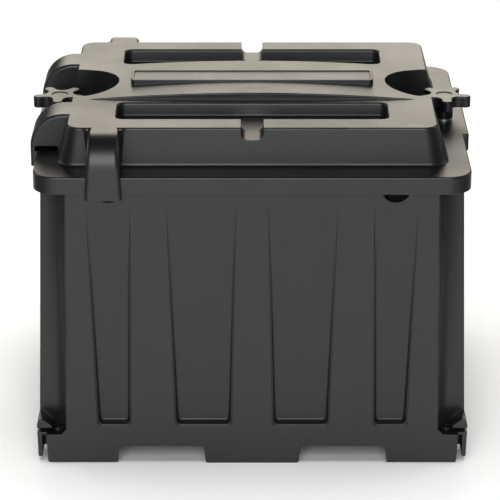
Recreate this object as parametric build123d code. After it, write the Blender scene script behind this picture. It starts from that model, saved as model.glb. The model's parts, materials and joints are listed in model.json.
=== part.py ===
from build123d import *
import math
import os

# Closed box for two deep cycle batteries. Millimetres, +Z up, +X to the right, front face towards -Y.
# The origin is on the ground under the middle foot, at the centre of the box.

# Lid skirt
RIM_HALF_X = 220.0
RIM_HALF_Y = 186.75
RIM_TOP = 318.5
SKIRT_BOTTOM = 300.5
RIM_CORNER = 25.0
LID_WALL = 3.5
SKIRT_ROUND = 1.8
BULGE_OUT = 6.0
BULGE_HALF_Y = 52.8
BULGE_CORNER = 4.0

# Lid plateau
PLATEAU_TOP = 358.0
PLATEAU_BASE_X = 197.5
PLATEAU_TOP_X = 186.5
PLATEAU_BASE_Y = 152.5
PLATEAU_TOP_Y = 149.5
PLATEAU_BASE_CORNER = 19.0
PLATEAU_TOP_CORNER = 14.0
PLATEAU_ROUND = 2.0
PLATEAU_ROOT = 3.0

# Slots, drain channels and finger wells in the plateau
SLOT_HALF_X = 138.5
SLOT_NEAR_Y = 67.8
SLOT_FAR_Y = 119.8
SLOT_DEPTH = 14.0
SLOT_CORNER = 8.0
SLOT_TAPER = 7.0
SLOT_LIP = 2.5
SLOT_ROOT = 2.0
CHANNEL_HALF_X = 11.5
CHANNEL_CORNER = 6.5
CHANNEL_DEPTH = 12.5
CHANNEL_LAP = 3.0
CHANNEL_RUN = 10.0
WELL_X = 187.0
WELL_RADIUS = 47.0

# Crowned band and its blank panel
CROWN_HALF_X = 182.0
CROWN_HALF_Y = 57.0
CROWN_RISE = 7.0
PANEL_HALF_X = 127.0
PANEL_HALF_Y = 18.0
PANEL_TOP = 366.8
PANEL_CORNER = 4.0
PANEL_RIM = 3.0
PANEL_RECESS = 1.1
PANEL_ROUND = 0.9
CROWN_ROUND = 1.0
CROWN_ROOT = 6.0
PANEL_ROOT = 2.0
PANEL_RECESS_CORNER = 2.0

# Cable hoods and downspouts at the left end
HOOD_OUT_X = 226.5
HOOD_NEAR_Y = 63.5
HOOD_FAR_Y = 107.5
HOOD_RADIUS = 34.0
HOOD_BOTTOM = 303.0
HOOD_ROOT_X = 180.0
SLIT_X = (222.0, 198.5)
SLIT_TOP = 324.5
SPOUT_X = 148.5
REAR_SPOUT_X = 142.0
SPOUT_HALF_X = 18.5
SPOUT_TOP_HALF_X = 15.5
SPOUT_OUT_Y = 193.5
SPOUT_RADIUS = 30.0
SPOUT_BOTTOM = 296.0
HOOD_ROUND = 3.0
SPOUT_ROUND = 4.5
SPOUT_ROOT = 8.0
SPOUT_EDGE = 1.5

# Tub
TUB_WALL = 4.0
TUB_RIM = 314.7
TUB_TOP_X = 213.5
TUB_LOW_X = 222.0
TUB_HALF_Y = 178.0
SCOOP_TOP_R = 25.0
SCOOP_LOW_R = 29.0
SCOOP_ROUND = 2.5
BODY_BOTTOM = 37.5
RIM_LIP_X = 215.6
RIM_LIP_Y = 182.4
RIM_LIP_BOTTOM = 306.0
PORT_X = 144.0
PORT_Z = 303.0
PORT_RADIUS = 14.3
PORT_CLEAR = 2.0

# Flutes pressed into the walls, as (top inner, top outer, low inner, low outer) distances from the middle
FLUTE_TOP = 287.0
FLUTE_LOW = 43.5
FLUTE_DEPTH = 8.0
FLUTE_TAPER = 22.0
FLUTE_CORNER = 6.0
FLUTE_ROOT = 2.0
FLUTE_LIP = 1.1
FRONT_FLUTES = ((17.0, 85.5, 21.5, 79.0), (123.5, 166.0, 125.5, 159.5))
SIDE_FLUTES = ((17.0, 70.0, 21.0, 65.0), (92.0, 136.0, 95.0, 131.0))

# Feet, floor and fork channels
FOOT_HALF_X = 213.4
FOOT_SIDE_Y = 178.0
FOOT_BEND = 27.5
FOOT_INSET = 0.9
FOOT_ROUND = 2.5
CHANNEL_TOP = 19.7
FORK_IN_X = 50.0
FORK_OUT_X = 138.0
FORK_TAPER = 2.0
FORK_ROUND = 3.0
FLOOR_TOP = 24.0
FOOT_FLOOR = 5.0
FOOT_HOLLOW_Y = 138.0
HOLLOW_WALL = 6.0
HOLLOW_SIDE = 8.0
LOW_ROOM_INSET = 6.0
LOW_ROOM_CORNER = 2.0
CORNER_SOLID_IN = 20.0
CORNER_SOLID_BACK = 11.0
CORNER_SOLID_RISE = 4.0

# Corner bolt pockets and strap hooks
BOLT_X = 203.0
BOLT_Y = 152.0
BOLT_HOLE_R = 3.4
BOLT_BOSS_R = 6.0
BOLT_BOSS_TOP = 31.0
POCKET_FLOOR = 29.0
POCKET_RADIUS = 33.0
POCKET_LIP = 4.0
LIP_GAP_LOW_R = 24.0
LIP_GAP_BOTTOM = 32.5
HOOK_FRONT_Y = 172.0
HOOK_REAR_Y = 142.0
HOOK_WEB = 4.0
HOOK_GAP_X = 218.2
HOOK_OUT_X = 223.4
HOOK_FOOT_X = 222.4
HOOK_SHOULDER = 40.0
HOOK_TOP = 47.0
HOOK_ARM_X = 208.0
HOOK_ARM_BOTTOM = 30.0
HOOK_BOTTOM = 5.0
HOOK_ROUND = 1.6

# Hold-down rods and knobs
ROD_X = 203.0
ROD_RADIUS = 4.0
ROD_BOTTOM = 12.0
ROD_TOP = 338.0
ROD_BOSS_TOP = 40.0
ROD_BOSS_HALF = 9.0
ROD_BOSS_HALF_Y = 11.0
NUT_HEIGHT = 6.5
NUT_FLATS = 13.0
NUT_CHAMFER = 0.6
STUD_CLEAR = 0.3
WASHER_R = 8.5
WASHER_THICK = 1.5
ANCHOR_R = 6.5
ANCHOR_BOTTOM = 10.0
LID_ROD_HOLE_R = 5.5
KNOB_BOTTOM = 320.2
KNOB_TOP = 345.6
KNOB_THICK = 12.0
KNOB_LOBES = 5
KNOB_TIP_R = 28.0
KNOB_LOBE_R = 5.4
KNOB_VALLEY_FILLET = 8.0
KNOB_HUB_R = 10.2
KNOB_HUB_LOW_R = 9.4
KNOB_FILLET = 1.2
KNOB_TURN = {"left": -3.5, "right": 4.5}
INSERT_R = 6.5
INSERT_TOP = 338.6
CAP_R = 8.6
CAP_BOTTOM = 342.4
CAP_TOP = 344.9
CAP_ROUND = 0.4
ROD_CHAMFER = 0.8

# Fits, and how far cutting tools reach past a surface
FIT = 0.06
EVEN = 0.001
OVER = 1.0

# Batteries
BATTERY_HALF_X = 91.0
BATTERY_HALF_Y = 132.0
BATTERY_X = 92.0
BATTERY_BOTTOM = FLOOR_TOP
BATTERY_CORNER = 6.0
CASE_TOP = 254.0
CASE_WALL = 3.0
CASE_FLOOR = 5.0
CELLS = 3
CELL_WALL = 2.4
CELL_PITCH = (2 * BATTERY_HALF_Y - 2 * CASE_WALL + CELL_WALL) / CELLS
COVER_TOP = 270.0
COVER_SKIN = 4.0
COVER_RAISED_TOP = 275.0
COVER_RAISED_HALF_X = 30.0
COVER_RAISED_INSET = 8.0
COVER_RAISED_CORNER = 8.0
COVER_ROUND = 2.5
VENT_SEAT_R = 15.0
VENT_SEAT_TOP = 281.0
VENT_THROAT_R = 10.0
VENT_HEAD_R = 16.5
VENT_HEAD_THICK = 5.0
VENT_GRIP_HALF = (14.0, 3.0)
VENT_GRIP_HEIGHT = 5.5
VENT_GRIP_CORNER = 2.5
VENT_GRIP_ROUND = 1.0
VENT_HEAD_ROUND = 1.5
VENT_SEAT_GAP = 0.1
VENT_STEM_WALL = 3.0
VENT_STEM_RISE = 6.0
TERMINAL_X = 60.0
TERMINAL_Y = 104.0
PAD_HALF = 14.0
PAD_TOP = 279.0
PAD_CORNER = 4.0
POST_R = 8.5
POST_TOP = 282.0
STUD_R = 4.0
STUD_TOP = 301.0
PLATE_HALF_X = 80.0
PLATE_BOTTOM = 34.0
PLATE_TOP = 226.0
PLATE_THICK = 2.9
POSITIVES = 7
PLATE_PITCH = 10.6
SEPARATOR_THICK = 1.8
SEPARATOR_EXTRA = 3.0
LUG_X = 45.0
LUG_HALF_X = 8.0
STRAP_BOTTOM = 236.0
STRAP_TOP = 241.0
STRAP_HALF_X = 9.0
STRAP_GAP = 0.5
STRAP_NOTCH = 3.0
LINK_THICK = 3.0
LINK_HALF_Y = 10.0
LINK_CORNER = 9.9


def block(x0, x1, y0, y1, z0, z1):
    """A box between two opposite corners."""
    middle = Pos((x0 + x1) / 2, (y0 + y1) / 2, (z0 + z1) / 2)
    return middle * Box(abs(x1 - x0), abs(y1 - y0), abs(z1 - z0))


def rod(radius, x, y, z0, z1):
    """An upright cylinder."""
    return Pos(x, y, (z0 + z1) / 2) * Cylinder(radius, z1 - z0)


def ring(inner, outer, x, y, z0, z1):
    """An upright tube."""
    return rod(outer, x, y, z0, z1) - rod(inner, x, y, z0, z1)


def rounded(half_x, half_y, corner, z):
    """A rectangle with rounded corners, flat at one height."""
    return Pos(0, 0, z) * RectangleRounded(2 * half_x, 2 * half_y, corner)


def prism(half_x, half_y, corner, z0, z1):
    """An upright block with rounded corners."""
    return extrude(rounded(half_x, half_y, corner, z0), z1 - z0)


def frustum(low, high):
    """A block that tapers between two rounded rectangles, each (half_x, half_y, corner, z)."""
    return loft([rounded(*low), rounded(*high)], ruled=True)


def flat_edges(shape, z):
    """The edges that lie at one height."""

    def is_flat(edge):
        box = edge.bounding_box()
        return abs(box.min.Z - z) < EVEN and abs(box.max.Z - z) < EVEN

    return shape.edges().filter_by(is_flat)


def inside(edges, half_x, half_y):
    """Those edges whose middles are within a centred rectangle."""
    return [e for e in edges if abs(e.center().X) < half_x and abs(e.center().Y) < half_y]


def both_sides(shape, plane):
    """The shape and its mirror image."""
    return [shape, mirror(shape, about=plane)]


def four_corners(shape):
    """The shape in all four corners."""
    pair = both_sides(shape, Plane.YZ)
    return pair + [mirror(item, about=Plane.XZ) for item in pair]


def union(shapes):
    """All shapes joined."""
    total = shapes[0]
    for shape in shapes[1:]:
        total = total + shape
    return total


def cut(body, tools):
    """The body with each tool taken away."""
    for tool in tools:
        body = body - tool
    return body


# Tub


def wall_x(z):
    """How far out the tub's side walls are at one height: they flare out towards the foot."""
    share = (z - BODY_BOTTOM) / (TUB_RIM - BODY_BOTTOM)
    return TUB_LOW_X + share * (TUB_TOP_X - TUB_LOW_X)


def wall_lean():
    """The side walls' angle from upright, in degrees."""
    return math.degrees(math.atan2(TUB_LOW_X - TUB_TOP_X, TUB_RIM - BODY_BOTTOM))


def scoop(inset):
    """The round cut down one corner, which leans with the side wall and widens towards the foot."""
    middle = (TUB_RIM + BODY_BOTTOM) / 2
    over = TUB_RIM - BODY_BOTTOM
    widen = (SCOOP_LOW_R - SCOOP_TOP_R) / 2
    cone = Cone(SCOOP_LOW_R + widen, SCOOP_TOP_R - widen, 2 * over)
    return Pos(wall_x(middle) - inset, inset - TUB_HALF_Y, middle) * Rot(0, -wall_lean(), 0) * cone


def tub_body(inset, z0, z1):
    """The tub above its feet, with its corners scooped out, offset inwards by inset."""
    low, high = wall_x(z0) - inset, wall_x(z1) - inset
    face = make_face(Polyline((-low, z0), (low, z0), (high, z1), (-high, z1), close=True))
    body = extrude(Plane.XZ * face, TUB_HALF_Y - inset, both=True)
    return cut(body, four_corners(scoop(inset)))


def pressed(edges, widen, depth, taper):
    """A tapered recess in the front wall with a flute's outline, widened all round."""
    top_in, top_out, low_in, low_out = edges
    low = FLUTE_LOW - widen
    outline = Polyline(
        (top_in - widen, FLUTE_TOP),
        (top_out + widen, FLUTE_TOP),
        (low_out + widen, low),
        (low_in - widen, low),
        close=True,
    )
    mouth = make_face(outline)
    mouth = fillet(mouth.vertices().sort_by(Axis.Y)[:2], FLUTE_CORNER)
    return extrude(Plane.XZ.offset(TUB_HALF_Y) * mouth, -depth, taper=taper)


def flute_wedge(depth, low):
    """The space in front of a flute's floor, which leans in from the wall towards the bottom."""
    side = make_face(
        Polyline(
            (-TUB_HALF_Y, FLUTE_TOP),
            (-TUB_HALF_Y + depth, low),
            (-TUB_HALF_Y + depth, 0),
            (-TUB_HALF_Y - OVER, 0),
            (-TUB_HALF_Y - OVER, FLUTE_TOP),
            close=True,
        )
    )
    return extrude(Plane.YZ * side, TUB_TOP_X)


def flute(edges, grow):
    """One flute in the front wall: its depth grows from nothing at the top to full at the bottom."""
    depth = FLUTE_DEPTH + grow
    wedge = flute_wedge(depth, FLUTE_LOW - grow)
    body = pressed(edges, grow, depth, FLUTE_TAPER) & wedge
    if grow > 0:
        return body
    deep = [e for e in body.edges() if e.center().Y > -TUB_HALF_Y + FLUTE_LIP]
    body = fillet(deep, FLUTE_ROOT)
    return body + (pressed(edges, FLUTE_LIP, FLUTE_LIP, 45.0) & wedge)


def wall_flutes(grow):
    """All flutes: four in the front, four in the back and four in each side."""
    front = [flute(edges, grow) for edges in FRONT_FLUTES]
    front = front + [mirror(item, about=Plane.YZ) for item in front]
    side = [flute(edges, grow) for edges in SIDE_FLUTES]
    side = side + [mirror(item, about=Plane.YZ) for item in side]
    onto_wall = Rot(0, -wall_lean(), 0) * Pos(-TUB_HALF_Y, 0, -BODY_BOTTOM)
    at_wall = Pos(TUB_LOW_X, 0, BODY_BOTTOM) * onto_wall
    side = [at_wall * Rot(0, 0, 90) * item for item in side]
    return (
        front
        + [mirror(item, about=Plane.XZ) for item in front]
        + side
        + [mirror(item, about=Plane.YZ) for item in side]
    )


def foot_block():
    """The band under the walls, drafted inwards below its bend."""
    upper = block(-FOOT_HALF_X, FOOT_HALF_X, -FOOT_SIDE_Y, FOOT_SIDE_Y, FOOT_BEND, BODY_BOTTOM)
    sole = Rectangle(2 * (FOOT_HALF_X - FOOT_INSET), 2 * (FOOT_SIDE_Y - FOOT_INSET))
    draft = math.degrees(math.atan2(FOOT_INSET, FOOT_BEND))
    band = upper + extrude(sole, FOOT_BEND, taper=-draft)
    return fillet([e for e in band.edges() if e.bounding_box().size.Z > FOOT_ROUND], FOOT_ROUND)


def fork_channel():
    """One channel under the tub, open at the front and the back."""
    outline = Polyline(
        (FORK_IN_X - FORK_TAPER, -OVER),
        (FORK_OUT_X + FORK_TAPER, -OVER),
        (FORK_OUT_X, CHANNEL_TOP),
        (FORK_IN_X, CHANNEL_TOP),
        close=True,
    )
    mouth = make_face(outline)
    mouth = fillet(mouth.vertices().sort_by(Axis.Y)[-2:], FORK_ROUND)
    return extrude(Plane.XZ * mouth, RIM_LIP_Y + OVER, both=True)


def strap_hook():
    """One corner hook: an arm from the foot that turns down as a plate, with a web behind its gap."""
    outline = Polyline(
        (HOOK_ARM_X, HOOK_ARM_BOTTOM),
        (HOOK_ARM_X, HOOK_SHOULDER),
        (wall_x(HOOK_TOP) - TUB_WALL, HOOK_TOP),
        (wall_x(HOOK_TOP), HOOK_TOP),
        (HOOK_OUT_X, HOOK_SHOULDER),
        (HOOK_FOOT_X, HOOK_BOTTOM),
        (HOOK_GAP_X, HOOK_BOTTOM),
        (HOOK_GAP_X, HOOK_ARM_BOTTOM),
        close=True,
    )
    shape = make_face(outline)
    shape = fillet(shape.vertices().sort_by(Axis.Y)[:2], HOOK_ROUND)
    plate = extrude(Plane.XZ.offset(HOOK_REAR_Y) * shape, HOOK_FRONT_Y - HOOK_REAR_Y)
    web = block(
        HOOK_ARM_X,
        HOOK_GAP_X + OVER,
        -HOOK_REAR_Y - HOOK_WEB,
        -HOOK_REAR_Y,
        HOOK_BOTTOM + HOOK_ROUND,
        HOOK_SHOULDER,
    )
    return plate + web


def corner_pocket():
    """The undercut pocket below one scoop, behind the foot's lip."""
    round_part = rod(POCKET_RADIUS, TUB_LOW_X, -TUB_HALF_Y, POCKET_FLOOR, BODY_BOTTOM)
    limit = block(
        0,
        FOOT_HALF_X - POCKET_LIP,
        -TUB_HALF_Y + POCKET_LIP,
        0,
        POCKET_FLOOR,
        BODY_BOTTOM,
    )
    rise = BODY_BOTTOM - LIP_GAP_BOTTOM
    cone = Cone(LIP_GAP_LOW_R, SCOOP_LOW_R, rise)
    lip_gap = Pos(TUB_LOW_X, -TUB_HALF_Y, LIP_GAP_BOTTOM + rise / 2) * cone
    return (round_part & limit) + lip_gap


def cable_port():
    """One round cable notch, open at the rim."""
    reach = TUB_WALL + RIM_LIP_Y - TUB_HALF_Y + PORT_CLEAR
    over = TUB_RIM + OVER
    outline = ThreePointArc(
        (PORT_X - PORT_RADIUS, PORT_Z),
        (PORT_X, PORT_Z - PORT_RADIUS),
        (PORT_X + PORT_RADIUS, PORT_Z),
    ) + Polyline(
        (PORT_X + PORT_RADIUS, PORT_Z),
        (PORT_X + PORT_RADIUS, over),
        (PORT_X - PORT_RADIUS, over),
        (PORT_X - PORT_RADIUS, PORT_Z),
    )
    return extrude(Plane.XZ.offset(TUB_HALF_Y) * make_face(outline), reach, both=True)


def base_tub():
    """The open tub: walls, corrugated floor, feet, pockets, hooks, ports and rod bosses."""
    body = tub_body(0, BODY_BOTTOM, TUB_RIM)
    upright = [e for e in body.edges() if e.bounding_box().size.Z > TUB_RIM / 2]
    outside = fillet(upright, SCOOP_ROUND) + foot_block()
    lip = prism(RIM_LIP_X, RIM_LIP_Y, RIM_CORNER - LID_WALL, RIM_LIP_BOTTOM, TUB_RIM)
    hooks = four_corners(strap_hook())
    outside = union([outside, lip] + hooks)

    room = tub_body(TUB_WALL, BODY_BOTTOM, TUB_RIM + OVER)
    low_room = prism(
        FOOT_HALF_X - LOW_ROOM_INSET,
        TUB_HALF_Y - LOW_ROOM_INSET,
        LOW_ROOM_CORNER,
        FLOOR_TOP,
        BODY_BOTTOM,
    )
    corner_solid = block(
        BOLT_X - CORNER_SOLID_IN,
        FOOT_HALF_X,
        -TUB_HALF_Y,
        -BOLT_Y + CORNER_SOLID_BACK,
        FLOOR_TOP - OVER,
        BODY_BOTTOM + CORNER_SOLID_RISE,
    )
    room = cut(room + low_room, four_corners(corner_solid))
    room = cut(room, wall_flutes(TUB_WALL))
    middle_x = FORK_IN_X - HOLLOW_WALL
    middle_hollow = block(
        -middle_x, middle_x, -FOOT_HOLLOW_Y, FOOT_HOLLOW_Y, FOOT_FLOOR, FLOOR_TOP + OVER
    )
    side_hollow = block(
        FORK_OUT_X + HOLLOW_WALL,
        FOOT_HALF_X - HOLLOW_SIDE,
        -FOOT_HOLLOW_Y,
        FOOT_HOLLOW_Y,
        FOOT_FLOOR,
        FLOOR_TOP + OVER,
    )
    room = union([room, middle_hollow] + both_sides(side_hollow, Plane.YZ))
    boss = block(
        ROD_X - ROD_BOSS_HALF,
        TUB_LOW_X,
        -ROD_BOSS_HALF_Y,
        ROD_BOSS_HALF_Y,
        0,
        ROD_BOSS_TOP,
    )
    room = cut(room, both_sides(boss, Plane.YZ))

    tub = outside - room
    tub = cut(tub, wall_flutes(0))
    tub = cut(tub, both_sides(fork_channel(), Plane.YZ))
    soles = [e for e in flat_edges(tub, 0) if e.bounding_box().size.Y > TUB_HALF_Y]
    tub = fillet(soles, FOOT_ROUND)
    tub = cut(tub, four_corners(corner_pocket()))
    tub = tub + union(
        four_corners(rod(BOLT_BOSS_R, BOLT_X, BOLT_Y, POCKET_FLOOR - OVER, BOLT_BOSS_TOP))
    )
    tub = cut(tub, four_corners(rod(BOLT_HOLE_R, BOLT_X, BOLT_Y, -OVER, BOLT_BOSS_TOP + OVER)))
    tub = cut(tub, four_corners(cable_port()))
    anchor_hole = rod(ANCHOR_R, ROD_X, 0, ANCHOR_BOTTOM, ROD_BOSS_TOP + OVER)
    return cut(tub, both_sides(anchor_hole, Plane.YZ))


# Lid


def plateau(inset, z0, z1):
    """The raised middle of the lid, offset inwards by inset."""

    def section(z):
        share = (z - RIM_TOP) / (PLATEAU_TOP - RIM_TOP)
        half_x = PLATEAU_BASE_X + share * (PLATEAU_TOP_X - PLATEAU_BASE_X)
        half_y = PLATEAU_BASE_Y + share * (PLATEAU_TOP_Y - PLATEAU_BASE_Y)
        corner = PLATEAU_BASE_CORNER + share * (PLATEAU_TOP_CORNER - PLATEAU_BASE_CORNER)
        return half_x - inset, half_y - inset, corner - inset, z

    return frustum(section(z0), section(z1))


def slot(grow):
    """One long trough in the plateau, in front of the crowned band."""
    depth = SLOT_DEPTH + grow
    half_y = (SLOT_FAR_Y - SLOT_NEAR_Y) / 2 + grow
    mouth = RectangleRounded(2 * (SLOT_HALF_X + grow), 2 * half_y, SLOT_CORNER + grow)
    at_top = Pos(0, -(SLOT_FAR_Y + SLOT_NEAR_Y) / 2, PLATEAU_TOP)
    return extrude(at_top * mouth, -depth, taper=SLOT_TAPER)


def drain_channel(grow):
    """The groove that drains one slot over the plateau's front edge."""
    half_x = CHANNEL_HALF_X + grow
    depth = CHANNEL_DEPTH + grow
    section = Pos(0, PLATEAU_TOP - depth) * Rectangle(2 * half_x, 2 * depth, align=(Align.CENTER, Align.MIN))
    section = fillet(section.vertices().sort_by(Axis.Y)[:2], CHANNEL_CORNER + grow)
    run = PLATEAU_BASE_Y - SLOT_FAR_Y + CHANNEL_RUN
    return extrude(Plane.XZ.offset(SLOT_FAR_Y - CHANNEL_LAP) * section, run)


def finger_well(grow):
    """The round bite at one end of the plateau, around a knob."""
    return rod(WELL_RADIUS + grow, WELL_X, 0, RIM_TOP - grow, PANEL_TOP + OVER)


def crown(inset):
    """The crowned band between the slots."""
    chord = PLATEAU_TOP - OVER
    arc = ThreePointArc(
        (-CROWN_HALF_X + inset, chord),
        (0, PLATEAU_TOP + CROWN_RISE - inset),
        (CROWN_HALF_X - inset, chord),
    )
    base = Polyline(
        (CROWN_HALF_X - inset, chord),
        (CROWN_HALF_X - inset, chord - CROWN_ROOT),
        (-CROWN_HALF_X + inset, chord - CROWN_ROOT),
        (-CROWN_HALF_X + inset, chord),
    )
    section = make_face(arc + base)
    band = extrude(Plane.XZ * section, CROWN_HALF_Y - inset, both=True)
    arcs = [e for e in band.edges() if e.center().Z > PLATEAU_TOP and e.length > CROWN_HALF_X]
    return fillet(arcs, CROWN_ROUND)


def panel():
    """The blank raised panel on the crowned band, with a shallow recess inside its edge."""
    body = prism(PANEL_HALF_X, PANEL_HALF_Y, PANEL_CORNER, PLATEAU_TOP - PANEL_ROOT, PANEL_TOP)
    recess = prism(
        PANEL_HALF_X - PANEL_RIM,
        PANEL_HALF_Y - PANEL_RIM,
        PANEL_RECESS_CORNER,
        PANEL_TOP - PANEL_RECESS,
        PANEL_TOP + OVER,
    )
    return fillet(flat_edges(body - recess, PANEL_TOP), PANEL_ROUND)


def hood(inset):
    """One cable hood: level with the plateau, rolled over into an outer wall beside the skirt."""
    out_x = HOOD_OUT_X - inset
    radius = HOOD_RADIUS - inset
    bottom = HOOD_BOTTOM if inset == 0 else RIM_TOP - LID_WALL - OVER
    top = PLATEAU_TOP - inset
    section = make_face(
        Polyline((-out_x, top - radius), (-out_x, bottom), (-HOOD_ROOT_X, bottom), (-HOOD_ROOT_X, top))
        + Line((-HOOD_ROOT_X, top), (-out_x + radius, top))
        + RadiusArc((-out_x + radius, top), (-out_x, top - radius), -radius)
    )
    length = HOOD_FAR_Y - HOOD_NEAR_Y - 2 * inset
    shell = extrude(Plane.XZ.offset(HOOD_NEAR_Y + inset) * section, length)
    if inset > 0:
        return shell
    ends = [e for e in shell.edges() if e.bounding_box().size.Y < EVEN]
    ends = [e for e in ends if e.center().Z > bottom + OVER and e.center().X < -HOOD_ROOT_X - OVER]
    return fillet(ends, HOOD_ROUND)


def slit():
    """The cable slit in one hood's outer side."""
    return block(
        -SLIT_X[0],
        -SLIT_X[1],
        -HOOD_FAR_Y - OVER,
        -HOOD_FAR_Y + LID_WALL + OVER,
        RIM_TOP,
        SLIT_TOP,
    )


def spout(inset, middle):
    """One downspout: level with the plateau, rolled over and led down in front of the skirt."""
    out_y = SPOUT_OUT_Y - inset
    radius = SPOUT_RADIUS - inset
    bottom = SPOUT_BOTTOM if inset == 0 else SPOUT_BOTTOM - OVER
    top = PLATEAU_TOP - inset
    root_y = PLATEAU_TOP_Y - SPOUT_ROOT
    section = make_face(
        Polyline((-out_y, top - radius), (-out_y, bottom), (-root_y, bottom), (-root_y, top))
        + Line((-root_y, top), (-out_y + radius, top))
        + RadiusArc((-out_y + radius, top), (-out_y, top - radius), -radius)
    )
    width = extrude(Plane.YZ.offset(-middle) * section, SPOUT_HALF_X, both=True)
    sides = make_face(
        Polyline(
            (-middle - SPOUT_HALF_X + inset, bottom),
            (-middle + SPOUT_HALF_X - inset, bottom),
            (-middle + SPOUT_TOP_HALF_X - inset, top),
            (-middle - SPOUT_TOP_HALF_X + inset, top),
            close=True,
        )
    )
    shell = width & extrude(Plane.XZ * sides, 2 * SPOUT_OUT_Y)
    if inset > 0:
        return shell
    outer = [e for e in shell.edges() if abs(e.center().X + middle) > SPOUT_TOP_HALF_X - SPOUT_EDGE]
    outer = [e for e in outer if e.center().Y < -root_y - OVER and e.center().Z > bottom + OVER]
    return fillet(outer, SPOUT_ROUND)


def spouts(inset):
    """Both downspouts: the rear one is a little further in."""
    return [spout(inset, SPOUT_X), mirror(spout(inset, REAR_SPOUT_X), about=Plane.XZ)]


def spout_roots():
    """The rounded inner corners between each downspout and the plateau's wall."""
    corner = Rectangle(SPOUT_ROOT, SPOUT_ROOT, align=(Align.MIN, Align.MAX))
    corner = corner - Pos(SPOUT_ROOT, -SPOUT_ROOT) * Circle(SPOUT_ROOT)
    web = extrude(Pos(0, 0, RIM_TOP - OVER) * corner, PLATEAU_TOP - RIM_TOP)
    placed_webs = []
    for middle, plane in ((SPOUT_X, None), (REAR_SPOUT_X, Plane.XZ)):
        for shape in both_sides(Pos(SPOUT_TOP_HALF_X, -PLATEAU_TOP_Y, 0) * web, Plane.YZ):
            shape = Pos(-middle, 0, 0) * shape
            placed_webs.append(shape if plane is None else mirror(shape, about=plane))
    return placed_webs


def front_and_back(shape):
    """The shape and its mirror image behind."""
    return both_sides(shape, Plane.XZ)


def skirt(inset, z0, z1):
    """The lid's flange, with a bulge at each end."""
    half_x = RIM_HALF_X - inset
    half_y = RIM_HALF_Y - inset
    plain = prism(half_x, half_y, RIM_CORNER - inset, z0, z1)
    bulge = BULGE_HALF_Y - inset
    return plain + prism(half_x + BULGE_OUT, bulge, BULGE_CORNER, z0, z1)


def lid_shell():
    """The moulded lid, hollow from below."""
    flange = skirt(0, SKIRT_BOTTOM, RIM_TOP)
    flange = fillet(flat_edges(flange, RIM_TOP), SKIRT_ROUND)
    raised = plateau(0, RIM_TOP - OVER, PLATEAU_TOP)
    raised = fillet(flat_edges(raised, PLATEAU_TOP), PLATEAU_ROUND)
    outside = flange + raised
    root = inside(flat_edges(outside, RIM_TOP), PLATEAU_BASE_X + OVER, PLATEAU_BASE_Y + OVER)
    outside = fillet(root, PLATEAU_ROOT)
    outside = cut(outside, front_and_back(slot(0)))
    lip = inside(flat_edges(outside, PLATEAU_TOP), SLOT_HALF_X + OVER, SLOT_FAR_Y + OVER)
    outside = fillet(lip, SLOT_LIP)
    outside = fillet(flat_edges(outside, PLATEAU_TOP - SLOT_DEPTH), SLOT_ROOT)
    outside = outside + crown(0) + panel()
    outside = cut(outside, both_sides(finger_well(0), Plane.YZ))
    outside = union([outside] + front_and_back(hood(0)) + spouts(0) + spout_roots())
    outside = cut(outside, front_and_back(drain_channel(0)))

    room = skirt(LID_WALL, SPOUT_BOTTOM - OVER, RIM_TOP - LID_WALL)
    raised = plateau(LID_WALL, RIM_TOP - LID_WALL - OVER, PLATEAU_TOP - LID_WALL)
    raised = raised + crown(LID_WALL)
    raised = cut(raised, front_and_back(slot(LID_WALL)))
    raised = cut(raised, front_and_back(drain_channel(LID_WALL)))
    raised = union([raised] + front_and_back(hood(LID_WALL)) + spouts(LID_WALL))
    raised = cut(raised, both_sides(finger_well(LID_WALL), Plane.YZ))
    lid = cut(outside, [room, raised] + front_and_back(slit()))
    return cut(lid, both_sides(rod(LID_ROD_HOLE_R, ROD_X, 0, SKIRT_BOTTOM, RIM_TOP + OVER), Plane.YZ))


# Hold-down rods and knobs


def hex_nut(x, y, z0):
    """A plain hexagon nut on an upright stud."""
    corner_r = NUT_FLATS / 2 / math.cos(math.pi / 6)
    blank = extrude(Pos(x, y, z0) * RegularPolygon(corner_r, 6), NUT_HEIGHT)
    edges = blank.faces().sort_by(Axis.Z)[-1].edges()
    blank = chamfer(edges, NUT_CHAMFER)
    return blank - rod(STUD_R + FIT, x, y, z0 - OVER, z0 + NUT_HEIGHT + OVER)


def flat_washer(x, y, z0):
    """A flat washer."""
    return ring(STUD_R + STUD_CLEAR, WASHER_R, x, y, z0, z0 + WASHER_THICK)


def side_x(side):
    """The x of the left or the right hold-down rod."""
    return {"left": -ROD_X, "right": ROD_X}[side]


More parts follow.
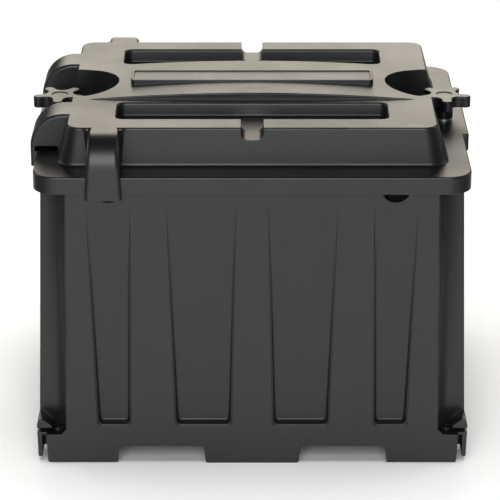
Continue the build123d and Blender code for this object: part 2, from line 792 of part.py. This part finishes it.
def knob(side):
    """A hand knob with round lobes over a hub."""
    outline = Circle(KNOB_LOBE_R)
    reach = KNOB_TIP_R - KNOB_LOBE_R
    for lobe in range(KNOB_LOBES):
        arm = Pos(reach / 2, 0) * Rectangle(reach, 2 * KNOB_LOBE_R)
        arm = arm + Pos(reach, 0) * Circle(KNOB_LOBE_R)
        outline = outline + Rot(0, 0, 360 * lobe / KNOB_LOBES - 90) * arm
    valleys = outline.vertices().sort_by(lambda point: math.hypot(point.X, point.Y))[:KNOB_LOBES]
    outline = fillet(valleys, KNOB_VALLEY_FILLET)
    star = extrude(Pos(0, 0, KNOB_TOP - KNOB_THICK) * outline, KNOB_THICK)
    rims = star.faces().sort_by(Axis.Z)
    star = fillet(rims[0].edges() + rims[-1].edges(), KNOB_FILLET)
    hub = loft(
        [
            Pos(0, 0, KNOB_BOTTOM) * Circle(KNOB_HUB_LOW_R),
            Pos(0, 0, KNOB_TOP - KNOB_THICK + OVER) * Circle(KNOB_HUB_R),
        ]
    )
    body = star + hub
    body = body - rod(INSERT_R, 0, 0, KNOB_BOTTOM - OVER, INSERT_TOP)
    body = body - rod(CAP_R, 0, 0, CAP_BOTTOM, KNOB_TOP + OVER)
    return Pos(side_x(side), 0, 0) * Rot(0, 0, KNOB_TURN[side]) * body


def knob_insert(side):
    """The brass insert that the rod screws into, shown without its thread."""
    return ring(ROD_RADIUS + FIT, INSERT_R, side_x(side), 0, KNOB_BOTTOM, INSERT_TOP)


def knob_cap(side):
    """The round plug in the knob's top."""
    plug = rod(CAP_R, side_x(side), 0, CAP_BOTTOM, CAP_TOP)
    return fillet(plug.faces().sort_by(Axis.Z)[-1].edges(), CAP_ROUND)


def knob_washer(side):
    """The washer between a knob and the lid."""
    return ring(LID_ROD_HOLE_R, KNOB_HUB_LOW_R, side_x(side), 0, RIM_TOP, RIM_TOP + WASHER_THICK)


def hold_down_rod(side):
    """The long rod from the tub's foot up into the knob."""
    shaft = rod(ROD_RADIUS, side_x(side), 0, ROD_BOTTOM, ROD_TOP)
    return chamfer(shaft.edges().filter_by(GeomType.CIRCLE), ROD_CHAMFER)


def rod_anchors():
    """The threaded sleeves set into the tub's bosses."""
    sleeve = ring(ROD_RADIUS + FIT, ANCHOR_R, ROD_X, 0, ANCHOR_BOTTOM, ROD_BOSS_TOP)
    return both_sides(sleeve, Plane.YZ)


def rod_washers():
    """The washers on the tub's bosses."""
    return both_sides(flat_washer(ROD_X, 0, ROD_BOSS_TOP), Plane.YZ)


def rod_nuts():
    """The nuts that lock the rods in the tub."""
    return both_sides(hex_nut(ROD_X, 0, ROD_BOSS_TOP + WASHER_THICK), Plane.YZ)


# Batteries, drawn with the battery's middle at x = 0 and moved into place by side


def cell_y(cell):
    """The middle of one cell."""
    return (cell - (CELLS - 1) / 2) * CELL_PITCH


def strap_side(cell, towards_last):
    """Which side of a cell its strap towards the last or the first cell is on."""
    forward = 1 if cell % 2 == 0 else -1
    return forward if towards_last else -forward


def placed(side, shape):
    """A battery piece on its own side; the right battery is the mirror of the left."""
    if side == "left":
        return Pos(-BATTERY_X, 0, 0) * shape
    return Pos(BATTERY_X, 0, 0) * mirror(shape, about=Plane.YZ)


def terminal_spots():
    """The two terminals of a battery: the outer front one and the inner rear one."""
    return ((-TERMINAL_X, -TERMINAL_Y), (TERMINAL_X, TERMINAL_Y))


def battery_case():
    """The case: three cells with walls between them, notched where straps cross."""
    case = prism(BATTERY_HALF_X, BATTERY_HALF_Y, BATTERY_CORNER, BATTERY_BOTTOM, CASE_TOP)
    half_x = BATTERY_HALF_X - CASE_WALL
    half_cell = (CELL_PITCH - CELL_WALL) / 2
    floor = BATTERY_BOTTOM + CASE_FLOOR
    for cell in range(CELLS):
        middle = cell_y(cell)
        case = case - block(
            -half_x, half_x, middle - half_cell, middle + half_cell, floor, CASE_TOP + OVER
        )
    for cell in range(CELLS - 1):
        middle = cell_y(cell) + CELL_PITCH / 2
        x = LUG_X * strap_side(cell, True)
        width = STRAP_HALF_X + STRAP_GAP
        case = case - block(
            x - width,
            x + width,
            middle - STRAP_NOTCH,
            middle + STRAP_NOTCH,
            STRAP_BOTTOM - STRAP_GAP,
            STRAP_TOP + STRAP_GAP,
        )
    return case


def battery_cover():
    """The cover: a raised middle with three vent seats, and a pad under each terminal."""
    cover = prism(BATTERY_HALF_X, BATTERY_HALF_Y, BATTERY_CORNER, CASE_TOP, COVER_TOP)
    cover = fillet(cover.faces().sort_by(Axis.Z)[-1].edges(), COVER_ROUND)
    cover = cover - prism(
        BATTERY_HALF_X - CASE_WALL,
        BATTERY_HALF_Y - CASE_WALL,
        BATTERY_CORNER - CASE_WALL,
        CASE_TOP - OVER,
        COVER_TOP - COVER_SKIN,
    )
    cover = cover + prism(
        COVER_RAISED_HALF_X,
        BATTERY_HALF_Y - COVER_RAISED_INSET,
        COVER_RAISED_CORNER,
        COVER_TOP - COVER_SKIN,
        COVER_RAISED_TOP,
    )
    for x, y in terminal_spots():
        pad = Pos(x, y) * prism(PAD_HALF, PAD_HALF, PAD_CORNER, COVER_TOP - COVER_SKIN, PAD_TOP)
        cover = cover + pad
        cover = cover - rod(POST_R, x, y, CASE_TOP, PAD_TOP + OVER)
    for cell in range(CELLS):
        middle = cell_y(cell)
        cover = cover + rod(VENT_SEAT_R, 0, middle, COVER_TOP - COVER_SKIN, VENT_SEAT_TOP)
        cover = cover - rod(VENT_THROAT_R, 0, middle, CASE_TOP, VENT_SEAT_TOP + OVER)
    return cover


def vent_cap(cell):
    """A vent cap that turns a quarter turn in its seat."""
    middle = cell_y(cell)
    base = VENT_SEAT_TOP + VENT_SEAT_GAP
    top = base + VENT_HEAD_THICK
    head = rod(VENT_HEAD_R, 0, middle, base, top)
    head = fillet(head.faces().sort_by(Axis.Z)[-1].edges(), VENT_HEAD_ROUND)
    half_x, half_y = VENT_GRIP_HALF
    grip = prism(half_x, half_y, VENT_GRIP_CORNER, top - OVER, top + VENT_GRIP_HEIGHT)
    grip = Pos(0, middle) * fillet(grip.faces().sort_by(Axis.Z)[-1].edges(), VENT_GRIP_ROUND)
    bore = VENT_THROAT_R - VENT_STEM_WALL
    foot = CASE_TOP + VENT_STEM_RISE
    stem = ring(bore, VENT_THROAT_R - FIT, 0, middle, foot, base + OVER)
    return head + grip + stem


def terminal_posts():
    """The lead posts with their studs."""
    posts = []
    for x, y in terminal_spots():
        post = rod(POST_R, x, y, STRAP_TOP, POST_TOP)
        posts.append(post + rod(STUD_R, x, y, POST_TOP - OVER, STUD_TOP))
    return posts


def stack_base(spot):
    """The height of the washer on one terminal: the inner rear one carries the link."""
    return POST_TOP + (LINK_THICK if spot[1] > 0 else 0)


def terminal_washers():
    """The washers on the studs."""
    return [flat_washer(*spot, stack_base(spot)) for spot in terminal_spots()]


def terminal_nuts():
    """The nuts on the studs."""
    return [hex_nut(*spot, stack_base(spot) + WASHER_THICK) for spot in terminal_spots()]


def plate(x, y):
    """One plate with its lug at x."""
    sheet = block(
        -PLATE_HALF_X, PLATE_HALF_X, y - PLATE_THICK / 2, y + PLATE_THICK / 2, PLATE_BOTTOM, PLATE_TOP
    )
    lug = block(
        x - LUG_HALF_X,
        x + LUG_HALF_X,
        y - PLATE_THICK / 2,
        y + PLATE_THICK / 2,
        PLATE_TOP - OVER,
        STRAP_BOTTOM,
    )
    return sheet + lug


def plate_group(towards_last, count):
    """All plates of one polarity, in every cell."""
    plates = []
    for cell in range(CELLS):
        x = LUG_X * strap_side(cell, towards_last)
        for index in range(count):
            offset = (index - (count - 1) / 2) * PLATE_PITCH
            plates.append(plate(x, cell_y(cell) + offset))
    return plates


def separators():
    """The sheets between the plates."""
    sheets = []
    half_x = PLATE_HALF_X + SEPARATOR_EXTRA
    for cell in range(CELLS):
        for index in range(2 * POSITIVES):
            y = cell_y(cell) + (index - (2 * POSITIVES - 1) / 2) * PLATE_PITCH / 2
            sheets.append(
                block(
                    -half_x,
                    half_x,
                    y - SEPARATOR_THICK / 2,
                    y + SEPARATOR_THICK / 2,
                    PLATE_BOTTOM - SEPARATOR_EXTRA,
                    PLATE_TOP + SEPARATOR_EXTRA,
                )
            )
    return sheets


def cell_straps():
    """The straps along the lugs: two join neighbouring cells, two carry the posts."""
    reach = POSITIVES * PLATE_PITCH / 2 + PLATE_THICK / 2
    straps = []
    for cell in range(CELLS - 1):
        x = LUG_X * strap_side(cell, True)
        low, high = cell_y(cell) - reach, cell_y(cell + 1) + reach
        straps.append(block(x - STRAP_HALF_X, x + STRAP_HALF_X, low, high, STRAP_BOTTOM, STRAP_TOP))
    for (x, y), cell in zip(terminal_spots(), (0, CELLS - 1)):
        inner = math.copysign(LUG_X - STRAP_HALF_X, x)
        outer = x + math.copysign(POST_R + OVER, x)
        middle = cell_y(cell)
        straps.append(block(inner, outer, middle - reach, middle + reach, STRAP_BOTTOM, STRAP_TOP))
    return straps


def series_link():
    """The flat copper bar between the two inner rear terminals."""
    half_x = BATTERY_X - TERMINAL_X
    bar = prism(half_x + LINK_HALF_Y, LINK_HALF_Y, LINK_CORNER, POST_TOP, POST_TOP + LINK_THICK)
    low, high = POST_TOP - OVER, POST_TOP + LINK_THICK + OVER
    hole = rod(STUD_R + STUD_CLEAR, half_x, 0, low, high)
    return Pos(0, TERMINAL_Y, 0) * cut(bar, both_sides(hole, Plane.YZ))


# All nodes

parts = {
    "base_tub": base_tub(),
    "lid_shell": lid_shell(),
    "rod_anchors": rod_anchors(),
    "rod_washers": rod_washers(),
    "rod_nuts": rod_nuts(),
    "series_link": series_link(),
}

for side in ("left", "right"):
    parts[f"knob_{side}"] = knob(side)
    parts[f"knob_insert_{side}"] = knob_insert(side)
    parts[f"knob_cap_{side}"] = knob_cap(side)
    parts[f"knob_washer_{side}"] = knob_washer(side)
    parts[f"hold_down_rod_{side}"] = hold_down_rod(side)
    positive_last = side == "left"
    battery = {
        "case": [battery_case()],
        "cover": [battery_cover()],
        "terminal_posts": terminal_posts(),
        "terminal_washers": terminal_washers(),
        "terminal_nuts": terminal_nuts(),
        "positive_plates": plate_group(positive_last, POSITIVES),
        "negative_plates": plate_group(not positive_last, POSITIVES + 1),
        "separators": separators(),
        "cell_straps": cell_straps(),
    }
    for name, shapes in battery.items():
        parts[f"battery_{side}_{name}"] = [placed(side, shape) for shape in shapes]
    for cell, place in enumerate(("front", "middle", "rear")):
        parts[f"vent_cap_{side}_{place}"] = placed(side, vent_cap(cell))

os.makedirs("parts", exist_ok=True)
for name, shape in parts.items():
    node = Compound(children=shape) if isinstance(shape, list) else shape
    export_step(node, f"parts/{name}.step")
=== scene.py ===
import math

import bpy
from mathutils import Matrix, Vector

import json

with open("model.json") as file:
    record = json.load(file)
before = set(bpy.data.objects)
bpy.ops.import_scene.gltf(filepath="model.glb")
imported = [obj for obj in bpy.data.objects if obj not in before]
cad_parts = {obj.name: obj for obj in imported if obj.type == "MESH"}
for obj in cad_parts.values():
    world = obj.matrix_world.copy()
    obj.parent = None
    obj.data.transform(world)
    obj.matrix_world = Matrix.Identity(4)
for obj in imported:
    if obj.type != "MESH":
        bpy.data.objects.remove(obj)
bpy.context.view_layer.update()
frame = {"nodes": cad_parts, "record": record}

# Stage: lengths in metres, a light's radiance in the scene's own units
FLOOR_HALF = 14.0
FLOOR_SEAM_Y = -0.15
FLOOR_BAND_Y = -0.02
MIRRORED_X = 0.75
FLOOR_COLOUR = (0.74, 0.74, 0.735)
SURROUND_COLOUR = (0.92, 0.96, 1.0, 1.0)
FLOOR_ROUGHNESS = 0.75
FLOOR_SHADE = 0.985
SURROUND_STRENGTH = 0.035
COOL = (0.98, 0.99, 1.0)
SOFT = (1.0, 0.99, 0.97)
WARM = (1.0, 0.93, 0.80)
WHITE = (1.0, 1.0, 1.0)
BOX_MIDDLE = (0.0, 0.0, 0.3)
GROUND_MIDDLE = (0.0, 0.0, 0.0)

# Camera: straight in front of the object and 21.3 degrees above it, through a long lens
LENS_MM = 187.2
SENSOR_MM = 36.0
PITCH = math.radians(21.3)
TARGET = Vector((-0.0022, 0.0, 0.1687))
DISTANCE = 2.811
CLIP_END = 100.0

# Surfaces: texture scales in features per metre, bump depths and edge radii in metres
BEVEL_SAMPLES = 8
PLASTIC_IOR = 1.5
BLOTCH_SCALE = 9.0
FLOW_SCALE = 26.0
FLOW_STRETCH = (1.0, 1.0, 0.35)
SCUFF_SCALE = 210.0
EDGE_BREAK_SCALE = 60.0
SPARK_SHARE = 0.7
FINE_SHARE = 0.5
FINE_RATIO = 1.7
MOTTLE_SHARE = 1.8
SCUFF_TINT = 0.25
SCUFF_DULL = 0.05
SMALL_EDGE = 0.0004
METAL_DEPTH = 0.00005
LEAD_DEPTH = 0.00012
SHEET_DEPTH = 0.0002
ALONG_X = (0.05, 1.0, 1.0)
ALONG_Z = (1.0, 1.0, 0.05)


def add_camera():
    """The camera, straight in front and above."""
    data = bpy.data.cameras.new("camera")
    data.lens = LENS_MM
    data.sensor_width = SENSOR_MM
    data.clip_end = CLIP_END
    camera = bpy.data.objects.new("camera", data)
    camera.location = TARGET + DISTANCE * Vector((0.0, -math.cos(PITCH), math.sin(PITCH)))
    camera.rotation_euler = (math.pi / 2 - PITCH, 0.0, 0.0)
    bpy.context.collection.objects.link(camera)
    bpy.context.scene.camera = camera


# Materials


class Nodes:
    """A shorthand for building one material's node tree."""

    def __init__(self, name):
        self.material = bpy.data.materials.new(name)
        self.material.use_nodes = True
        self.tree = self.material.node_tree
        self.shader = self.tree.nodes["Principled BSDF"]
        self.place = self.add("ShaderNodeTexCoord").outputs["Object"]

    def add(self, kind, **values):
        """A node with its properties set."""
        node = self.tree.nodes.new(kind)
        for key, value in values.items():
            setattr(node, key, value)
        return node

    def link(self, source, target):
        """A link between two sockets."""
        self.tree.links.new(source, target)

    def noise(self, scale, detail=2.0, roughness=0.5, stretch=None):
        """A noise value from the piece's own place, scale in features per metre."""
        node = self.add("ShaderNodeTexNoise")
        node.inputs["Scale"].default_value = scale
        node.inputs["Detail"].default_value = detail
        node.inputs["Roughness"].default_value = roughness
        place = self.place
        if stretch:
            mapping = self.add("ShaderNodeMapping")
            mapping.inputs["Scale"].default_value = stretch
            self.link(place, mapping.inputs["Vector"])
            place = mapping.outputs["Vector"]
        self.link(place, node.inputs["Vector"])
        return node.outputs["Fac"]

    def cells(self, scale):
        """The distance to the nearest of many scattered points."""
        node = self.add("ShaderNodeTexVoronoi")
        node.inputs["Scale"].default_value = scale
        self.link(self.place, node.inputs["Vector"])
        return node.outputs["Distance"]

    def span(self, value, low, high, to_low=0.0, to_high=1.0):
        """A value mapped from one range to another, held at its ends."""
        node = self.add("ShaderNodeMapRange")
        for key, number in zip(("From Min", "From Max", "To Min", "To Max"), (low, high, to_low, to_high)):
            node.inputs[key].default_value = number
        self.link(value, node.inputs["Value"])
        return node.outputs["Result"]

    def math(self, operation, first, second):
        """One operation on two values, each a socket or a number."""
        node = self.add("ShaderNodeMath", operation=operation)
        for slot, value in zip(node.inputs, (first, second)):
            if isinstance(value, (int, float)):
                slot.default_value = value
            else:
                self.link(value, slot)
        return node.outputs["Value"]

    def mix(self, factor, first, second):
        """A colour between two colours, each a socket or three numbers."""
        node = self.add("ShaderNodeMix", data_type="RGBA")
        self.link(factor, node.inputs["Factor"])
        colours = [socket for socket in node.inputs if socket.type == "RGBA"]
        for slot, value in zip(colours, (first, second)):
            if isinstance(value, tuple):
                slot.default_value = (*value, 1.0)
            else:
                self.link(value, slot)
        return next(socket for socket in node.outputs if socket.type == "RGBA")

    def rounded(self, radius):
        """The surface's normal as if its edges were rounded."""
        node = self.add("ShaderNodeBevel", samples=BEVEL_SAMPLES)
        node.inputs["Radius"].default_value = radius
        return node.outputs["Normal"]

    def edges(self, radius, low, high):
        """One along sharp edges, nothing elsewhere."""
        plain = self.add("ShaderNodeNewGeometry").outputs["Normal"]
        product = self.add("ShaderNodeVectorMath", operation="DOT_PRODUCT")
        self.link(self.rounded(radius), product.inputs[0])
        self.link(plain, product.inputs[1])
        bent = self.math("SUBTRACT", 1.0, product.outputs["Value"])
        return self.span(bent, low, high)

    def bump(self, height, strength, distance, under=None):
        """A normal from a height, over another normal."""
        node = self.add("ShaderNodeBump")
        node.inputs["Strength"].default_value = strength
        node.inputs["Distance"].default_value = distance
        self.link(height, node.inputs["Height"])
        if under is not None:
            self.link(under, node.inputs["Normal"])
        return node.outputs["Normal"]

    def finish(self, colour, roughness, normal):
        """Links what varies to the shader."""
        self.link(colour, self.shader.inputs["Base Color"])
        self.link(roughness, self.shader.inputs["Roughness"])
        self.link(normal, self.shader.inputs["Normal"])
        return self.material


def moulded_plastic(name, dark, light, wear_and_edge_highlight, rough, grain=1400.0, mottle=560.0, depth=0.00006, edge=0.0009):
    """Injection-moulded plastic: spark-textured, a little blotchy, paler along sharp edges: edge wear with
    a painted highlight.
    """
    n = Nodes(name)
    blotch = n.noise(BLOTCH_SCALE, detail=5.0, roughness=0.6)
    flow = n.noise(FLOW_SCALE, detail=4.0, roughness=0.65, stretch=FLOW_STRETCH)
    spark = n.cells(grain)
    fine = n.noise(grain * FINE_RATIO, detail=2.0, roughness=0.6)
    scuff = n.span(n.noise(SCUFF_SCALE, detail=6.0, roughness=0.7), low=0.58, high=0.74)
    colour = n.mix(n.span(n.math("ADD", blotch, flow), low=0.75, high=1.25), dark, light)
    # Paler along every sharp edge, concave ones too, broken up by noise: edge wear and a painted highlight
    # in one colour.
    edge_wear_and_highlight = n.edges(edge, low=0.02, high=0.30)
    broken = n.noise(EDGE_BREAK_SCALE, detail=5.0, roughness=0.7)
    broken = n.span(broken, low=0.35, high=0.65, to_low=0.25, to_high=1.0)
    colour = n.mix(n.math("MULTIPLY", edge_wear_and_highlight, broken), colour, wear_and_edge_highlight)
    colour = n.mix(n.math("MULTIPLY", scuff, SCUFF_TINT), colour, wear_and_edge_highlight)
    level = n.span(blotch, low=0.35, high=0.65, to_low=rough - 0.03, to_high=rough + 0.04)
    level = n.math("ADD", level, n.math("MULTIPLY", scuff, SCUFF_DULL))
    height = n.math("MULTIPLY", spark, SPARK_SHARE)
    height = n.math("ADD", height, n.math("MULTIPLY", fine, FINE_SHARE))
    height = n.math("ADD", height, n.math("MULTIPLY", n.noise(mottle, detail=1.0), MOTTLE_SHARE))
    normal = n.bump(height, strength=0.5, distance=depth, under=n.rounded(edge))
    n.shader.inputs["IOR"].default_value = PLASTIC_IOR
    return n.finish(colour, level, normal)


def metal(name, dark, light, rough, stretch, streak=900.0, spots=70.0):
    """Bare metal with fine lines along one way, and dull spots."""
    n = Nodes(name)
    lines = n.noise(streak, detail=3.0, roughness=0.6, stretch=stretch)
    patch = n.noise(spots, detail=5.0, roughness=0.6)
    tone = n.math("ADD", n.math("MULTIPLY", lines, 0.5), patch)
    colour = n.mix(n.span(tone, low=0.55, high=0.95), dark, light)
    level = n.span(patch, low=0.35, high=0.65, to_low=rough - 0.06, to_high=rough + 0.10)
    normal = n.bump(lines, strength=0.35, distance=METAL_DEPTH, under=n.rounded(SMALL_EDGE))
    n.shader.inputs["Metallic"].default_value = 1.0
    return n.finish(colour, level, normal)


def cast_lead(name, dark, light, rough, metallic, patches=60.0, pitting=700.0, grain=1500.0):
    """A cast, pitted skin: metallic for lead, dull for a pasted plate."""
    n = Nodes(name)
    patch = n.noise(patches, detail=6.0, roughness=0.65)
    pits = n.cells(pitting)
    colour = n.mix(n.span(patch, low=0.35, high=0.65), dark, light)
    level = n.span(patch, low=0.35, high=0.65, to_low=rough - 0.05, to_high=rough + 0.08)
    height = n.math("ADD", n.math("MULTIPLY", pits, 0.5), n.noise(grain, detail=3.0))
    normal = n.bump(height, strength=0.6, distance=LEAD_DEPTH, under=n.rounded(SMALL_EDGE))
    n.shader.inputs["Metallic"].default_value = metallic
    return n.finish(colour, level, normal)


def ribbed_sheet(name, dark, light, rough, ribs=90.0, pore=2400.0, patches=40.0):
    """A separator sheet: fine upright ribs on a porous skin."""
    n = Nodes(name)
    wave = n.add("ShaderNodeTexWave", wave_type="BANDS", bands_direction="X", wave_profile="SIN")
    wave.inputs["Scale"].default_value = ribs
    n.link(n.place, wave.inputs["Vector"])
    pores = n.noise(pore, detail=3.0, roughness=0.7)
    colour = n.mix(n.span(n.noise(patches, detail=5.0), low=0.35, high=0.65), dark, light)
    level = n.span(pores, low=0.3, high=0.7, to_low=rough - 0.05, to_high=rough + 0.05)
    height = n.math("ADD", wave.outputs["Fac"], n.math("MULTIPLY", pores, 0.4))
    normal = n.bump(height, strength=0.6, distance=SHEET_DEPTH)
    return n.finish(colour, level, normal)


# Each plastic's worn colour serves both its scuffs and the painted highlight along its sharp edges.
MATERIALS = {
    "tub_plastic": moulded_plastic(
        "tub_plastic",
        dark=(0.0075, 0.0075, 0.0077),
        light=(0.0095, 0.0095, 0.0096),
        wear_and_edge_highlight=(0.026, 0.0255, 0.025),
        rough=0.40,
    ),
    "lid_plastic": moulded_plastic(
        "lid_plastic",
        dark=(0.0080, 0.0080, 0.0084),
        light=(0.0105, 0.0105, 0.0109),
        wear_and_edge_highlight=(0.030, 0.0295, 0.029),
        rough=0.38,
    ),
    "knob_plastic": moulded_plastic(
        "knob_plastic",
        dark=(0.0060, 0.0060, 0.0061),
        light=(0.0080, 0.0080, 0.0081),
        wear_and_edge_highlight=(0.024, 0.0235, 0.023),
        rough=0.37,
        grain=1800.0,
    ),
    "battery_case": moulded_plastic(
        "battery_case",
        dark=(0.016, 0.016, 0.017),
        light=(0.022, 0.022, 0.023),
        wear_and_edge_highlight=(0.045, 0.045, 0.045),
        rough=0.42,
    ),
    "battery_cover": moulded_plastic(
        "battery_cover",
        dark=(0.060, 0.062, 0.066),
        light=(0.078, 0.080, 0.084),
        wear_and_edge_highlight=(0.120, 0.120, 0.120),
        rough=0.45,
    ),
    "vent_plastic": moulded_plastic(
        "vent_plastic",
        dark=(0.42, 0.215, 0.010),
        light=(0.50, 0.265, 0.016),
        wear_and_edge_highlight=(0.58, 0.40, 0.12),
        rough=0.38,
    ),
    "brass": metal(
        "brass", dark=(0.55, 0.38, 0.14), light=(0.72, 0.52, 0.22), rough=0.30, stretch=ALONG_Z
    ),
    "steel": metal(
        "steel", dark=(0.46, 0.46, 0.47), light=(0.62, 0.62, 0.62), rough=0.32, stretch=ALONG_Z
    ),
    "copper": metal(
        "copper", dark=(0.62, 0.27, 0.16), light=(0.78, 0.38, 0.24), rough=0.30, stretch=ALONG_X
    ),
    "lead": cast_lead(
        "lead", dark=(0.16, 0.165, 0.175), light=(0.24, 0.245, 0.25), rough=0.50, metallic=0.8
    ),
    "positive_plate": cast_lead(
        "positive_plate", dark=(0.075, 0.038, 0.026), light=(0.11, 0.055, 0.036), rough=0.78, metallic=0.0
    ),
    "separator": ribbed_sheet(
        "separator", dark=(0.29, 0.28, 0.265), light=(0.37, 0.36, 0.34), rough=0.70
    ),
}


# Stage


def plain_surface(name, colour, rough, patches=1.3, tooth=500.0):
    """A pale studio surface with a barely visible tooth."""
    n = Nodes(name)
    soft = n.noise(patches, detail=3.0)
    shaded = tuple(FLOOR_SHADE * c for c in colour)
    tone = n.mix(n.span(soft, low=0.3, high=0.7), shaded, colour)
    level = n.span(soft, low=0.3, high=0.7, to_low=rough - 0.02, to_high=rough + 0.02)
    normal = n.bump(n.noise(tooth, detail=2.0), strength=0.1, distance=0.0001)
    return n.finish(tone, level, normal)


def add_floor(name, strips, mirrored):
    """One part of the floor, from (x_low, x_high, y_low, y_high) strips."""
    mesh = bpy.data.meshes.new(name)
    corners, faces = [], []
    for x_low, x_high, y_low, y_high in strips:
        start = len(corners)
        corners += [(x_low, y_low, 0.0), (x_high, y_low, 0.0), (x_high, y_high, 0.0), (x_low, y_high, 0.0)]
        faces.append(tuple(range(start, start + 4)))
    mesh.from_pydata(corners, [], faces)
    floor = bpy.data.objects.new(name, mesh)
    floor.data.materials.append(FLOOR_PAINT)
    floor.visible_glossy = mirrored
    FLOORS.objects.link(floor)


def add_light(name, size, radiance, colour, place, aim, only=None):
    """One soft rectangular light, as bright as its radiance says whatever its size."""
    data = bpy.data.lights.new(name, "AREA")
    data.shape = "RECTANGLE"
    data.size, data.size_y = size
    data.energy = radiance * math.pi * size[0] * size[1]
    data.color = colour
    light = bpy.data.objects.new(name, data)
    light.location = place
    light.rotation_euler = (Vector(aim) - Vector(place)).to_track_quat("-Z", "Y").to_euler()
    light.light_linking.receiver_collection = only
    bpy.context.collection.objects.link(light)


def add_world():
    """A dim even surround."""
    world = bpy.data.worlds.new("world")
    world.use_nodes = True
    background = world.node_tree.nodes["Background"]
    background.inputs["Color"].default_value = SURROUND_COLOUR
    background.inputs["Strength"].default_value = SURROUND_STRENGTH
    bpy.context.scene.world = world


add_camera()
add_world()
FLOOR_PAINT = plain_surface("floor_paint", FLOOR_COLOUR, FLOOR_ROUGHNESS)
FLOORS = bpy.data.collections.new("floors")
bpy.context.scene.collection.children.link(FLOORS)
# The band beside the front corners and the floor far to both sides stay out of the object's gloss: they
# would wash its edges out.
add_floor(
    "floor_near",
    [
        (-MIRRORED_X, MIRRORED_X, -FLOOR_HALF, FLOOR_SEAM_Y),
        (-MIRRORED_X, MIRRORED_X, FLOOR_BAND_Y, FLOOR_HALF),
    ],
    True,
)
add_floor(
    "floor_rest",
    [
        (-FLOOR_HALF, -MIRRORED_X, -FLOOR_HALF, FLOOR_HALF),
        (MIRRORED_X, FLOOR_HALF, -FLOOR_HALF, FLOOR_HALF),
        (-MIRRORED_X, MIRRORED_X, FLOOR_SEAM_Y, FLOOR_BAND_Y),
    ],
    False,
)
add_light(
    "backdrop", size=(3.0, 3.7), radiance=3.1, colour=WARM, place=(0.0, 4.6, 1.95), aim=BOX_MIDDLE
)
add_light(
    "front", size=(3.0, 3.3), radiance=5.9, colour=COOL, place=(-0.35, -4.2, 2.1), aim=BOX_MIDDLE
)
add_light(
    "left", size=(2.4, 2.4), radiance=1.9, colour=SOFT, place=(-4.0, 1.4, 1.6), aim=BOX_MIDDLE
)
add_light(
    "right", size=(2.4, 2.4), radiance=1.6, colour=SOFT, place=(4.0, 1.4, 1.6), aim=BOX_MIDDLE
)
add_light(
    "above",
    size=(3.2, 3.2),
    radiance=5.2,
    colour=WHITE,
    place=(0.0, 0.0, 3.6),
    aim=GROUND_MIDDLE,
    only=FLOORS,
)

slots = {part["node"]: part["material_slot"] for part in frame["record"]["subparts"]}
for name, obj in frame["nodes"].items():
    obj.data.materials.clear()
    obj.data.materials.append(MATERIALS[slots[name]])

bpy.context.scene.view_settings.view_transform = "Standard"
bpy.context.scene.view_settings.look = "None"
